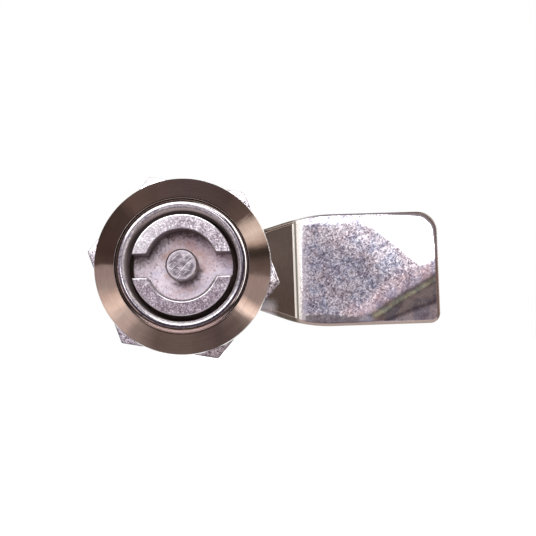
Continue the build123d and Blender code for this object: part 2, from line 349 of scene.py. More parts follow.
# Insert ring: a nitrile O-ring in the insert's groove, rolled on before the insert goes in. It
# keeps water out and gives the turn its drag.
low, high = (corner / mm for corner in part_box("insert_ring"))
thick = (high.y - low.y) / 2
o_ring = [(high.x - thick + thick * math.cos(a), (low.y + high.y) / 2 + thick * math.sin(a))
          for a in np.linspace(0, 2 * math.pi, 28, endpoint=False)]
o_ring = joined("o_ring", [stitched("o_ring", circles(o_ring, 256), closed=True)])
finished(o_ring, rubber, "rotor", "black_rubber", "insert_ring")

# Insert: the turning core with the key way, a zinc die casting, tumbled so that its edges are
# rounded, then satin chromed. It goes in from the front, and the cam behind holds it.
low, high = (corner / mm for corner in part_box("insert"))
well_radius, well_depth, pin_radius = 5.6, 5.8, 2.5
face, floor_at = low.y, low.y + well_depth

# Satin chromed zinc, tumbled: the stones leave it finely dented, so it sparkles in grey and white
# and mirrors nothing clearly. The lower half is darker, and the upper left has painted light.
satin, tree, place = material_named("satin_chromed_zinc_tumbled")
parts = add(tree, "SeparateXYZ", place)
grit = 0.12  # mm between the tumbling stones' dents
dents = add(tree, "TexNoise", place, 0.5 / grit, 7.0, 0.74)[0]
patch = add(tree, "TexNoise", place, 0.6, 4.0, 0.6)[0]
radius = add(tree, "VectorMath", place, (1, 0, 1), operation="MULTIPLY")
radius = add(tree, "VectorMath", radius, operation="LENGTH")
tone = add(tree, "ValToRGB", dents,
           stops=[(0.36, "#5f585f"), (0.46, "#8f888f"), (0.55, "#b2abb2"), (0.62, "#fbf7fa")])[0]
share = add(tree, "MapRange", patch, 0.42, 0.62, 0.0, 0.6, **smooth)
tone = add(tree, "Mix", share, tone, "#bfb4ba", **tinted)
lower_half = add(tree, "MapRange", parts[2], 3.0, -5.0, 0.0, 0.8, **smooth)
tone = add(tree, "Mix", lower_half, tone, "#dcd4da", **tinted)
# painted light on the upper left
painted_light_side = add(tree, "VectorMath", place, (-0.8, 0, 0.6), operation="DOT_PRODUCT")
share = add(tree, "MapRange", painted_light_side, 3.0, 7.0, 0.0, 0.15, **smooth)
tone = add(tree, "Mix", share, tone, "#ffffff", **mixed)

# Pin's top: keys have rubbed it, so it is smoother, with dark blotches, a paler brim and long
# white scratches that cross in two directions.
on_pin = add(tree, "MapRange", radius, pin_radius, pin_radius - 0.1)
near_face = add(tree, "MapRange", parts[1], face + 0.4, face + 0.3)
on_pin = add(tree, "Math", on_pin, near_face, operation="MULTIPLY")
blotch = add(tree, "TexNoise", place, 1.1, 4.0, 0.6)[0]
worn = add(tree, "ValToRGB", blotch, stops=[(0.38, "#5e565e"), (0.5, "#7c747b"), (0.64, "#a69ea5")])[0]
for way, least in ((-40, 0.6), (20, 0.64)):
    lay = add(tree, "Mapping", place, Rotation=(0, math.radians(way), 0), Scale=(1.6, 1, 0.14),
              vector_type="TEXTURE")
    lines = add(tree, "TexNoise", lay, 1.0, 2.0, 0.4)[0]
    share = add(tree, "MapRange", lines, least, least + 0.08, 0.0, 0.6, **smooth)
    worn = add(tree, "Mix", share, worn, "#ffffff", **mixed)
brim = add(tree, "MapRange", radius, pin_radius - 0.9, pin_radius - 0.2, 0.0, 0.6, **smooth)
worn = add(tree, "Mix", brim, worn, "#bfb7be", **mixed)
tone = add(tree, "Mix", on_pin, tone, worn, **mixed)

# Key way: the casting's own skin, pale and pinkish, with painted shadow and dark spots along the
# upper wall, walls painted dark as shade, rusty stains on the floor and painted shadow at the pin's
# foot.
deep = add(tree, "MapRange", parts[1], face + 1.4, floor_at - 0.6, **smooth)
skin = add(tree, "Math", deep, 0.85, operation="MULTIPLY")
pores = add(tree, "TexNoise", place, 2.6, 6.0, 0.75)[0]
pores = add(tree, "ValToRGB", pores, stops=[(0.36, "#7d6866"), (0.45, "#e6d5de"), (0.56, "#fbf1f8")])[0]
tone = add(tree, "Mix", skin, tone, pores, **mixed)
rust = add(tree, "TexNoise", add(tree, "VectorMath", place, (7, 0, 3), operation="ADD"), 0.45, 5.0, 0.65)[0]
share = add(tree, "MapRange", rust, 0.42, 0.64, 0.0, 0.75, **smooth)
near_pin = add(tree, "MapRange", radius, 4.9, 3.5, 0.3, 1.0, **smooth)
share = add(tree, "Math", share, near_pin, operation="MULTIPLY")
share = add(tree, "Math", share, deep, operation="MULTIPLY")
tone = add(tree, "Mix", share, tone, "#c9a59c", **mixed)
blue = add(tree, "TexNoise", add(tree, "VectorMath", place, (2, 0, 9), operation="ADD"), 0.4, 4.0, 0.6)[0]
share = add(tree, "MapRange", blue, 0.46, 0.7, 0.0, 0.5, **smooth)
share = add(tree, "Math", share, deep, operation="MULTIPLY")
tone = add(tree, "Mix", share, tone, "#c4c4de", **mixed)
# painted light: the lower floor of the key way is lighter
share = add(tree, "MapRange", parts[2], 1.0, -2.5, 0.0, 0.25, **smooth)
share = add(tree, "Math", share, deep, operation="MULTIPLY")
tone = add(tree, "Mix", share, tone, "#f8eeff", **mixed)
# painted shadow under the upper wall of the well
upper = add(tree, "VectorMath", place, (-0.3, 0, 0.95), operation="DOT_PRODUCT")
wall = add(tree, "MapRange", radius, well_radius - 2.2, well_radius - 0.1, **smooth)
upper = add(tree, "MapRange", upper, 0.5, 4.0, **smooth)
wall = add(tree, "Math", wall, upper, operation="MULTIPLY")
# painted shadow at the pin's foot, on its lower right
lower_right = add(tree, "VectorMath", place, (0.5, 0, -0.87), operation="DOT_PRODUCT")
foot = add(tree, "MapRange", radius, pin_radius + 1.4, pin_radius + 0.1, **smooth)
lower_right = add(tree, "MapRange", lower_right, 0.4, 2.4, 0.15, 1.0, **smooth)
foot = add(tree, "Math", foot, lower_right, operation="MULTIPLY")
shade_and_spots = add(tree, "Math", wall, foot, operation="MAXIMUM")
# painted shade: a dark line on the floor along the lower wall of the well
off_centre = add(tree, "VectorMath", place, (0.32, 0, -0.37), operation="ADD")  # wider at the lower right
off_centre = add(tree, "VectorMath", off_centre, (1, 0, 1), operation="MULTIPLY")
off_centre = add(tree, "VectorMath", off_centre, operation="LENGTH")
lower_wall_shade = add(tree, "MapRange", off_centre, 5.45, 5.7, **smooth)
below = add(tree, "MapRange", parts[2], -1.0, -2.5)
lower_wall_shade = add(tree, "Math", lower_wall_shade, below, operation="MULTIPLY")
lower_wall_shade = add(tree, "Math", lower_wall_shade, deep, operation="MULTIPLY")
lower_wall_shade = add(tree, "Math", lower_wall_shade, 0.8, operation="MULTIPLY")
tone = add(tree, "Mix", lower_wall_shade, tone, "#4f4045", **mixed)
# painted shade over the upper floor
upper_floor_shade = add(tree, "VectorMath", place, (0.5, 0, 0.87), operation="DOT_PRODUCT")
upper_floor_shade = add(tree, "MapRange", upper_floor_shade, 1.5, 4.5, 0.0, 0.7, **smooth)
upper_floor_shade = add(tree, "Math", upper_floor_shade, deep, operation="MULTIPLY")
tone = add(tree, "Mix", upper_floor_shade, tone, "#cfbfc4", **tinted)
# the painted shadows, broken up by dark spots
spots = add(tree, "TexNoise", place, 2.0, 5.0, 0.75)[0]
level = add(tree, "Math", shade_and_spots, 0.5, spots, operation="MULTIPLY_ADD")
shade_and_spots = add(tree, "MapRange", level, 0.62, 1.1, 0.0, 0.85, **smooth)
shade_and_spots = add(tree, "Math", shade_and_spots, deep, operation="MULTIPLY")
tone = add(tree, "Mix", shade_and_spots, tone, "#4c3936", **mixed)
facing = add(tree, "SeparateXYZ", add(tree, "TexCoord")["Normal"])
# painted shade: faces that run along the axis are dark
shaded_walls = add(tree, "Math", facing[1], operation="ABSOLUTE")
shaded_walls = add(tree, "MapRange", shaded_walls, 0.5, 0.2, 0.0, 0.8, **smooth)
tone = add(tree, "Mix", shaded_walls, tone, "#6e5a58", **mixed)

# Edges: tumbled round and rubbed bright, so that they draw a white line round the face. The line
# is fainter inside the well and at the slots.
rounded = add(tree, "Bevel", 0.1 * mm, samples=8)
lean = add(tree, "Math", facing[1], operation="ABSOLUTE")
rubbed = add(tree, "MapRange", lean, 0.999, 0.985, **smooth)
not_wall = add(tree, "MapRange", lean, 0.3, 0.6, **smooth)
rubbed = add(tree, "Math", rubbed, not_wall, operation="MULTIPLY")
near_face = add(tree, "MapRange", parts[1], face + 0.4, face + 0.3)
rubbed = add(tree, "Math", rubbed, near_face, operation="MULTIPLY")
from_middle = add(tree, "Math", parts[2], operation="ABSOLUTE")
beyond_slots = add(tree, "MapRange", from_middle, 2.2, 2.8, 0.5, 1.0)
beyond_well = add(tree, "MapRange", radius, 6.0, 7.0, 0.5, 1.0)
rubbed = add(tree, "Math", rubbed, beyond_well, operation="MULTIPLY")
rubbed = add(tree, "Math", rubbed, beyond_slots, operation="MULTIPLY")
tone = add(tree, "Mix", rubbed, tone, "#ffffff", **mixed)
bump = add(tree, "Bump", 0.2, 0.03 * mm, Height=dents, Normal=rounded)
soft = add(tree, "MapRange", deep, 0.0, 1.0, 0.3, 0.45, **smooth)
soft = add(tree, "Mix", rubbed, soft, 0.14)
metal = add(tree, "MapRange", deep, 0.0, 1.0, 1.0, 0.6, **smooth)
shader = add(tree, "BsdfPrincipled", Base_Color=tone, Metallic=metal, Roughness=soft, Normal=bump)
add(tree, "OutputMaterial", shader)
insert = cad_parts["insert"]
for spot in insert.material_slots:
    spot.material = satin
crisp(insert, 30)

# Lock washer: stamped from zinc plated steel strip, with teeth round its edge and two flats in
# its hole. It slides on the barrel without turning and bites into the panel under the nut.

# Zinc plated steel, stamped: rolling lines show through a thin bright plating, so it shines in
# short streaks, and its sheared edges are a little rounded.
stamped, tree, place = material_named("zinc_plated_steel_stamped")
rolling = add(tree, "Mapping", place, Scale=(0.6, 1, 5.0))
grain = add(tree, "TexNoise", rolling, 1.6, 5.0, 0.65)[0]  # rolling lines 0.2 mm apart
spangle = add(tree, "TexNoise", place, 2.2, 6.0, 0.7)[0]
level = add(tree, "Mix", 0.5, grain, spangle)
tone = add(tree, "ValToRGB", level, stops=[(0.36, "#857f84"), (0.5, "#c6c0c6"), (0.62, "#f4f1f6")])[0]
bump = add(tree, "Bump", 0.35, 0.03 * mm, Height=level, Normal=add(tree, "Bevel", 0.1 * mm, samples=4))
soft = add(tree, "MapRange", spangle, 0.35, 0.65, 0.22, 0.38, **smooth)
shader = add(tree, "BsdfPrincipled", Base_Color=tone, Metallic=1.0, Roughness=soft, Normal=bump)
add(tree, "OutputMaterial", shader)
lock_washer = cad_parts["lock_washer"]
for spot in lock_washer.material_slots:
    spot.material = stamped
crisp(lock_washer, 30)

# Hex nut: die cast in zinc and left with its rough skin, its thread tapped and its rear corners
# chamfered. It runs on the barrel and pulls the flange down on the panel.
low, high = (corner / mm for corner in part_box("hex_nut"))
nut_across, nut_front, nut_back, nut_corner_angle = 27.0, low.y, high.y, -11.0
nut_bore, countersink, nut_chamfer_from = barrel_radius + 0.05, 0.4, 13.3
nut_minor_radius, thread_play = 10.26, 0.06


def hex_ring(across, y, inset=0.0, corner=0.3, angle=0.0, chamfer=None):
    """A ring of points round a hexagon with rounded corners.

    A chamfer is the radius it starts at, its slope in degrees, and how far it lies ahead of y.
    """
    turn = -np.linspace(0, 2 * math.pi, steps_round, endpoint=False)
    flat = across / 2 - inset
    off = np.abs((turn - math.radians(angle) + math.pi / 6) % (math.pi / 3) - math.pi / 6)
    centre = (flat - corner) / math.cos(math.pi / 6)
    meets = math.atan2(corner * 0.5, centre + corner * math.cos(math.pi / 6))
    bow = centre * np.cos(off) + np.sqrt(np.maximum(corner**2 - (centre * np.sin(off)) ** 2, 0))
    r = np.where(off < meets, bow, flat / np.cos(math.pi / 6 - off))
    if chamfer:
        start, slope, ahead = chamfer
        y = np.minimum(y, y - np.maximum(r - start, 0) * math.tan(math.radians(slope)) - ahead)
    return np.stack([r * np.cos(turn), np.zeros(steps_round) + y, r * np.sin(turn)], 1)


def nut_thread(way, y, turn):
    r = thread_form(way, barrel_radius, thread_depth, thread_pitch) + thread_play
    r = np.maximum(r, nut_minor_radius)
    r = np.maximum(r, nut_bore + countersink - (y - nut_front))
    return np.maximum(r, nut_bore + countersink - (nut_back - y))


nut_hole, rows = threaded("nut_inside", nut_front, nut_back, thread_pitch, nut_thread)
loops = [(nut_front, 0.25, None), (nut_front + 0.04, 0.08, None), (nut_front + 0.15, 0, None)]
loops += [(nut_back, inset, (nut_chamfer_from, 25, lies)) for inset, lies in ((0, 0.12), (0.05, 0.02))]
loops = [hex_ring(nut_across, y, inset, 0.3, nut_corner_angle, chamfer) for y, inset, chamfer in loops]
loops += circles([(nut_chamfer_from, nut_back)])
nut = joined("nut_threaded", [nut_hole, stitched("nut_shell", [rows[0], *loops, rows[-1]])])

# Die-cast zinc, as cast: a coarse pitted skin that glints in white specks between dark pits. Its
# lower right is darker and browner.
cast, tree, place = material_named("zinc_die_cast_as_cast")
pit = 0.35  # mm, width of a pit
grain = add(tree, "TexNoise", place, 0.8 / pit, 7.0, 0.78)[0]
tone = add(tree, "ValToRGB", grain,
           stops=[(0.37, "#4f464b"), (0.44, "#a89fa4"), (0.52, "#f4eef2"), (0.6, "#ffffff")])[0]
lower_right = add(tree, "VectorMath", place, (0.7, 0, -0.7), operation="DOT_PRODUCT")
share = add(tree, "MapRange", lower_right, 10.0, 12.5, 0.0, 0.5, **smooth)
tone = add(tree, "Mix", share, tone, "#9c887e", **tinted)
bump = add(tree, "Bump", 0.6, 0.05 * mm, Height=grain)
shader = add(tree, "BsdfPrincipled", Base_Color=tone, Metallic=1.0, Roughness=0.22, Normal=bump)
add(tree, "OutputMaterial", shader)
finished(nut, cast, "nut", "nut_zinc", "hex_nut")

# Cam: the bolt, blanked from 3 mm steel plate, cranked in a press and zinc plated bright. The
# punch rolls its front edge; its square hole seats on the insert's tail.
bend_at = 19.35  # where the ramp meets the arm

# Bright zinc plated steel, pressed: nearly a mirror, broken up by the plating's crystals and by
# fine scratches. The lower right of the arm is calmer and shows clear reflections.
bright, tree, place = material_named("bright_zinc_plated_steel_pressed")
parts = add(tree, "SeparateXYZ", place)
spangle = 0.35  # mm across a zinc crystal, drawn twice as coarse as a real one so that it shows
grain = add(tree, "TexNoise", place, 0.65 / spangle, 7.0, 0.74, 2.0, 0.6)[0]
fleck = add(tree, "TexNoise", place, 0.45, 3.0, 0.6)[0]
warm = add(tree, "TexNoise", place, 0.3, 2.0, 0.5)[0]
lower_end = add(tree, "VectorMath", place, (-36.0, 0, 6.7), operation="ADD")
lower_end = add(tree, "VectorMath", lower_end, (0.5, 0, -0.87), operation="DOT_PRODUCT")
calm = add(tree, "MapRange", lower_end, -4.5, 0.6, 0.0, 0.88, **smooth)
ramp = add(tree, "MapRange", parts[0], bend_at + 0.25, bend_at - 0.95, **smooth)
calm_ramp = add(tree, "Math", ramp, 0.8, operation="MULTIPLY")
calm = add(tree, "Math", calm, calm_ramp, operation="MAXIMUM")
level = add(tree, "Mix", calm, grain, 0.5)
tone = add(tree, "ValToRGB", level,
           stops=[(0.37, "#6b656c"), (0.45, "#969098"), (0.52, "#b9b4bb"), (0.6, "#ffffff")])[0]
share = add(tree, "MapRange", fleck, 0.44, 0.58, 0.0, 0.8, **smooth)
tone = add(tree, "Mix", share, tone, "#c3cde0", **tinted)
share = add(tree, "MapRange", warm, 0.46, 0.6, 0.0, 0.7, **smooth)
tone = add(tree, "Mix", share, tone, "#dccbcc", **tinted)
lively = add(tree, "MapRange", calm, 0.0, 0.8, 1.0, 0.15)
crystals = add(tree, "VectorMath", place, (1, 0.2, 1), operation="MULTIPLY")
crystals = add(tree, "TexVoronoi", crystals, 0.75 / spangle)
painted_glint = add(tree, "MapRange", crystals["Distance"], 0.5, 0.25, **smooth)
some = add(tree, "SeparateColor", crystals["Color"])[0]  # painted highlight: some crystals are painted white as glints
some = add(tree, "MapRange", some, 0.55, 0.85, 0.0, 0.85, **smooth)
painted_glint = add(tree, "Math", painted_glint, some, operation="MULTIPLY")
painted_glint = add(tree, "Math", painted_glint, lively, operation="MULTIPLY")
tone = add(tree, "Mix", painted_glint, tone, "#fffdff", **mixed)
for way, least in ((28, 0.61), (-52, 0.61), (75, 0.62), (-15, 0.62)):
    lay = add(tree, "Mapping", place, Rotation=(0, math.radians(way), 0), Scale=(1.8, 1, 0.14),
              vector_type="TEXTURE")
    lines = add(tree, "TexNoise", lay, 1.0, 2.0, 0.4)[0]
    share = add(tree, "MapRange", lines, least, least + 0.05, 0.0, 0.7, **smooth)
    share = add(tree, "Math", share, lively, operation="MULTIPLY")
    tone = add(tree, "Mix", share, tone, "#fbf9fd", **mixed)

# Ramp and bend: the press has drawn the plating out smooth on the ramp. Along the bend runs a pale
# matt band of painted highlight with a ragged right side, and a dark line of painted shade runs down
# the band at the crease.
streak = add(tree, "VectorMath", place, (2.5, 0.2, 0.8), operation="MULTIPLY")
streak = add(tree, "TexNoise", streak, 1.0, 6.0, 0.7)[0]
drawn = add(tree, "ValToRGB", streak, stops=[(0.3, "#dfe6e7"), (0.7, "#f1f8f9")])[0]
downward = add(tree, "MapRange", parts[2], 6.0, -7.0, **smooth)
drawn = add(tree, "Mix", downward, drawn, "#c6bfbc", **tinted)
share = add(tree, "Math", ramp, 0.9, operation="MULTIPLY")
tone = add(tree, "Mix", share, tone, drawn, **mixed)
from_bend = add(tree, "Math", parts[0], -bend_at, operation="ADD")
haze = add(tree, "MapRange", from_bend, 2.2, 0.6, 0.0, 0.5, **smooth)
off_ramp = add(tree, "MapRange", ramp, 1.0, 0.6)
haze = add(tree, "Math", haze, off_ramp, operation="MULTIPLY")
tone = add(tree, "Mix", haze, tone, "#f4f1f4", **mixed)
right_side = add(tree, "Math", parts[2], -0.024, 0.216, operation="MULTIPLY_ADD")
right_side = add(tree, "Math", from_bend, right_side, operation="ADD")
# painted highlight: a pale matt band along the bend
bend = add(tree, "MapRange", from_bend, -0.88, -0.74, **smooth)
right_side = add(tree, "Math", grain, 1.6, right_side, operation="MULTIPLY_ADD")
right_side = add(tree, "MapRange", right_side, 2.0, 1.2, **smooth)
bend = add(tree, "Math", bend, right_side, operation="MULTIPLY")
tone = add(tree, "Mix", bend, tone, "#ebe4dc", **mixed)
# painted shade: a dark line down the band at the crease
crease = add(tree, "Math", from_bend, 0.27, operation="ADD")
crease = add(tree, "Math", crease, operation="ABSOLUTE")
crease = add(tree, "MapRange", crease, 0.3, 0.08, 0.0, 0.95, **smooth)
tone = add(tree, "Mix", crease, tone, "#6b6a60", **mixed)

# Sheared edges: grey and matt above, browner below, and painted dark along the ramp as shade. The
# ramp's lower left, where the plate spreads to the hub, is worn to a dull pale grey.
facing = add(tree, "SeparateXYZ", add(tree, "TexCoord")["Normal"])
edgewise = add(tree, "Math", facing[2], operation="ABSOLUTE")
sheared = add(tree, "MapRange", edgewise, 0.35, 0.8, **smooth)
below = add(tree, "MapRange", parts[2], -7.0, -8.0)
rounding = add(tree, "MapRange", edgewise, 0.05, 0.3, **smooth)
rounding = add(tree, "Math", rounding, below, operation="MULTIPLY")
sheared = add(tree, "Math", sheared, rounding, operation="MAXIMUM")
edge_tone = add(tree, "Mix", below, "#c9c5c3", "#a08e87", **mixed)
tone = add(tree, "Mix", sheared, tone, edge_tone, **mixed)
# painted shade along the ramp's rolled edges
rolled = add(tree, "MapRange", edgewise, 0.08, 0.3, **smooth)
rolled = add(tree, "Math", rolled, ramp, operation="MULTIPLY")
tone = add(tree, "Mix", rolled, tone, "#5d5148", **mixed)
flare = add(tree, "MapRange", parts[0], 15.8, 14.0, **smooth)
low_down = add(tree, "MapRange", parts[2], -4.5, -6.5, 0.0, 0.7, **smooth)
flare = add(tree, "Math", flare, low_down, operation="MULTIPLY")
tone = add(tree, "Mix", flare, tone, "#b3a9ac", **mixed)

# Tip: a dark band of painted shade follows the end of the arm, widest at the upper corner. It thins
# to both sides of the corner.
corner_x, corner_z, corner_round, shade_at_corner = 41.2, 6.5, 3.6, 1.17
corner_along = corner_x - corner_z
out_x = add(tree, "Math", parts[0], -corner_x, operation="ADD")
out_x = add(tree, "Math", out_x, 0.0, operation="MAXIMUM")
out_z = add(tree, "Math", parts[2], -corner_z, operation="ADD")
out_z = add(tree, "Math", out_z, 0.0, operation="MAXIMUM")
out = add(tree, "VectorMath", add(tree, "CombineXYZ", out_x, out_z), operation="LENGTH")
along = add(tree, "Math", parts[0], parts[2], operation="SUBTRACT")
thins_left = add(tree, "MapRange", along, corner_along, corner_along - 10, 0.0, 0.75)
thins_right = add(tree, "MapRange", along, corner_along, corner_along + 6, 0.0, 0.45)
thins = add(tree, "Math", thins_left, thins_right, operation="ADD")
into_tip_shade = add(tree, "Math", out, thins, operation="SUBTRACT")
into_tip_shade = add(tree, "Math", into_tip_shade, shade_at_corner - corner_round, operation="ADD")
tip_edge = add(tree, "MapRange", into_tip_shade, 0.0, 0.12, **smooth)
forward_part = add(tree, "MapRange", facing[1], -0.12, -0.3, **smooth)
tip_edge = add(tree, "Math", tip_edge, forward_part, operation="MULTIPLY")
# painted shade along the tip's edge, browner below
tip_shade = add(tree, "ValToRGB", into_tip_shade,
           stops=[(0.05, "#989399"), (0.25, "#6f6468"), (0.5, "#574b4c"), (0.9, "#5c4b40")])[0]
brown = add(tree, "MapRange", parts[2], 5.0, 0.0, **smooth)
tip_shade = add(tree, "Mix", brown, tip_shade, "#634c42", **mixed)
tone = add(tree, "Mix", tip_edge, tone, tip_shade, **mixed)

# Lower edge: a dark line of painted shade along the arm's lower edge, from the bend to its middle,
# thinner toward the right. It, the band at the bend, the sheared edges, the tip's band and the worn
# hub are matt, and hardly mirror.
lower_edge_line = add(tree, "Math", parts[0], -24.0, operation="ADD")
lower_edge_line = add(tree, "Math", lower_edge_line, 0.0, operation="MAXIMUM")
lower_edge_line = add(tree, "Math", lower_edge_line, 0.1, parts[2], operation="MULTIPLY_ADD")
lower_edge_line = add(tree, "Math", grain, 1.2, lower_edge_line, operation="MULTIPLY_ADD")
# painted shade along the lower edge
lower_edge_shade = add(tree, "MapRange", lower_edge_line, -7.0, -7.5, 0.0, 0.85, **smooth)
lower_edge_shade_to = add(tree, "MapRange", parts[0], 34.0, 29.0, **smooth)
lower_edge_shade = add(tree, "Math", lower_edge_shade, lower_edge_shade_to, operation="MULTIPLY")
lower_edge_shade_from = add(tree, "MapRange", from_bend, 0.6, 1.2, **smooth)
lower_edge_shade = add(tree, "Math", lower_edge_shade, lower_edge_shade_from, operation="MULTIPLY")
on_face = add(tree, "MapRange", edgewise, 0.5, 0.2, **smooth)
lower_edge_shade = add(tree, "Math", lower_edge_shade, on_face, operation="MULTIPLY")
tone = add(tree, "Mix", lower_edge_shade, tone, "#43363e", **mixed)
matt = add(tree, "Math", bend, sheared, operation="MAXIMUM")
matt = add(tree, "Math", matt, tip_edge, operation="MAXIMUM")
matt = add(tree, "Math", matt, lower_edge_shade, operation="MAXIMUM")
matt = add(tree, "Math", matt, flare, operation="MAXIMUM")
soft = add(tree, "Math", matt, 0.4, 0.015, operation="MULTIPLY_ADD")
metal = add(tree, "Math", matt, -0.75, 1.0, operation="MULTIPLY_ADD")
shader = add(tree, "BsdfPrincipled", Base_Color=tone, Metallic=metal, Roughness=soft)
add(tree, "OutputMaterial", shader)
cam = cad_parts["cam"]
for spot in cam.material_slots:
    spot.material = bright
crisp(cam, 30)

# Flat washer: blanked from zinc plated steel, its front edge rolled over by the punch and its
# rear edge left with a small sharp step. It spreads the spring washer's load on the cam.
low, high = (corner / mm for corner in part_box("flat_washer"))
hole, rolled_edge, step = 3.2, 0.3, 0.06
washer = arc(hole + rolled_edge, low.y + rolled_edge, rolled_edge, 180, 270, 6)
washer += arc(high.x - rolled_edge, low.y + rolled_edge, rolled_edge, 270, 360, 6)
washer += [(high.x, high.y - step), (high.x - step, high.y), (hole + step, high.y), (hole, high.y - step)]
washer = joined("flat_washer_stamped", [stitched("washer", circles(washer, 192), closed=True)])
finished(washer, stamped, "rotor", "zinc_plated_fixing", "flat_washer")

# Spring washer: a turn of square steel wire, coiled, cut on the slant, hardened and zinc plated.
# The screw presses it flat, and it keeps the joint tight.
low, high = (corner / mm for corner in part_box("spring_washer"))
bore, bevel = 3.1, 0.18
cut_slope, cut_half = math.tan(math.radians(20)), math.radians(2.6)
outline = [(r + dr, y + dy) for r, dr, y, dy in (
    (high.x, 0, low.y, bevel), (high.x, 0, high.y, -bevel), (high.x, -bevel / 3, high.y, -bevel / 3),
    (high.x, -bevel, high.y, 0), (bore, bevel, high.y, 0), (bore, bevel / 3, high.y, -bevel / 3),
    (bore, 0, high.y, -bevel), (bore, 0, low.y, bevel), (bore, bevel / 3, low.y, bevel / 3),
    (bore, bevel, low.y, 0), (high.x, -bevel, low.y, 0), (high.x, -bevel / 3, low.y, bevel / 3))]
rings = []
for turn in np.linspace(math.pi + cut_half, 3 * math.pi - cut_half, 160):
    slant = [turn + (y - (low.y + high.y) / 2) * cut_slope / high.x for r, y in outline]
    rings.append([(r * math.cos(a), y, r * math.sin(a)) for (r, y), a in zip(outline, slant)])
split_ring = joined("spring_washer_coiled", [stitched("coil", rings, caps=True)])
finished(split_ring, stamped, "rotor", "zinc_plated_fixing", "spring_washer")

# Hex screw: M6, cold headed from steel wire, its thread rolled, then zinc plated. It is turned
# into the insert's tail and clamps the cam and both washers.
low, high = (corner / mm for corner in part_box("hex_screw"))
head_height, head_across, head_angle, head_chamfer_from = 4, 10.0, 12.0, 4.75
dish_radius, dish_floor, dish_depth = 3.9, 3.8, 0.12
screw_radius, screw_pitch, screw_depth, tip_chamfer = 2.95, 1.0, 0.61, 0.5
neck_length, neck_fade, neck_step = 1.2, 0.6, 0.3
screw_tip, head_front = low.y, high.y - head_height


def screw_surface(way, y, turn):
    r = thread_form(way, screw_radius, screw_depth, screw_pitch)
    r = np.minimum(r, screw_radius - tip_chamfer + (y - screw_tip))
    plain = np.clip((y - head_front + neck_length) / neck_fade, 0, 1)  # the thread runs out under the head
    return r + (screw_radius - neck_step - r) * plain


shank, rows = threaded("shank", screw_tip, head_front, screw_pitch, screw_surface)
loops = [(head_front, 0.2, None), (head_front + 0.15, 0.02, None), (head_front + 0.3, 0, None)]
loops += [(high.y, inset, (head_chamfer_from, 30, lies)) for inset, lies in ((0, 0.1), (0.05, 0.02))]
loops = [hex_ring(head_across, y, inset, 0.25, head_angle, chamfer) for y, inset, chamfer in loops]
dish = [(dish_radius, high.y), (dish_floor, high.y - dish_depth), (0, high.y - dish_depth)]
head = stitched("head", [rows[-1], *loops, *circles([(head_chamfer_from, high.y), *dish])])
point = stitched("point", [*circles([(0, screw_tip)]), rows[0]])
screw = joined("hex_screw_threaded", [point, shank, head])

# Zinc plated steel, cold headed: smooth, bluish and bright, with faint flow lines from the die
# along the screw.
plated, tree, place = material_named("zinc_plated_steel_cold_headed")
flow = add(tree, "Mapping", place, Scale=(1, 0.3, 1))
grain = add(tree, "TexNoise", flow, 2.0, 6.0, 0.7)[0]  # half-millimetre mottling of the plating
tone = add(tree, "ValToRGB", grain, stops=[(0.34, "#8f8d95"), (0.5, "#c9c8d0"), (0.64, "#f3f4fa")])[0]
bump = add(tree, "Bump", 0.3, 0.03 * mm, Height=grain)
soft = add(tree, "MapRange", grain, 0.35, 0.65, 0.2, 0.34, **smooth)
shader = add(tree, "BsdfPrincipled", Base_Color=tone, Metallic=1.0, Roughness=soft, Normal=bump)
add(tree, "OutputMaterial", shader)
finished(screw, plated, "rotor", "zinc_plated_fixing", "hex_screw")

# Studio: a warm dark room seen only in the metal, with pale cards round the lens and one long
# white strip light. It is painted by direction: degrees round the lock axis, counted upward from
# the right, and polar degrees away from the lens.
world = bpy.data.worlds.new("studio")
bpy.context.scene.world = world
world.use_nodes = True
tree = world.node_tree
tree.nodes.clear()
toward = add(tree, "TexCoord")["Generated"]
axes = add(tree, "SeparateXYZ", toward)
degree = 180 / math.pi
forward = add(tree, "Math", axes[1], -1.0, operation="MULTIPLY")
polar = add(tree, "Math", add(tree, "Math", forward, operation="ARCCOSINE"), degree, operation="MULTIPLY")
bearing = add(tree, "Math", axes[2], axes[0], operation="ARCTAN2")
bearing = add(tree, "Math", bearing, degree, operation="MULTIPLY")
jag = add(tree, "TexNoise", toward, 14.0, 5.0, 0.65)[0]
jag_degrees, ring_strength = 9.0, 1.7
jagged = add(tree, "Math", jag, -0.5, operation="ADD")
jagged = add(tree, "Math", jagged, jag_degrees, bearing, operation="MULTIPLY_ADD")
ring = [(-179, "#8f7b76"), (-170, "#9c8a83"), (-164, "#bda398"), (-155, "#e3c8ba"), (-146, "#b5a29b"),
        (-140, "#b8a19a"), (-134, "#8e7d76"), (-115, "#60504d"), (-90, "#63534f"), (-65, "#504241"),
        (-48, "#665753"), (-41, "#86766f"), (-36, "#ffe4d6"), (-30, "#c8aea2"), (-25, "#917e78"),
        (-8, "#927e77"), (-4, "#65554f"), (2, "#5a4a44"), (11, "#362c27"), (15, "#40352f"), (20, "#a78f82"),
        (28, "#d8c3b6"), (36, "#c0aca0"), (41, "#5a4943"), (60, "#4a3c3a"), (90, "#504343"),
        (128, "#5a4842"), (136, "#433532"), (165, "#3f2f2b"), (173, "#4c3c38"), (176, "#8f7b76")]
lit = add(tree, "MapRange", jagged, -180.0, 180.0)
lit = add(tree, "ValToRGB", lit, stops=[((a + 180) / 360, colour) for a, colour in ring])[0]
lit = add(tree, "VectorMath", lit, ring_strength, operation="SCALE")
shade = lit
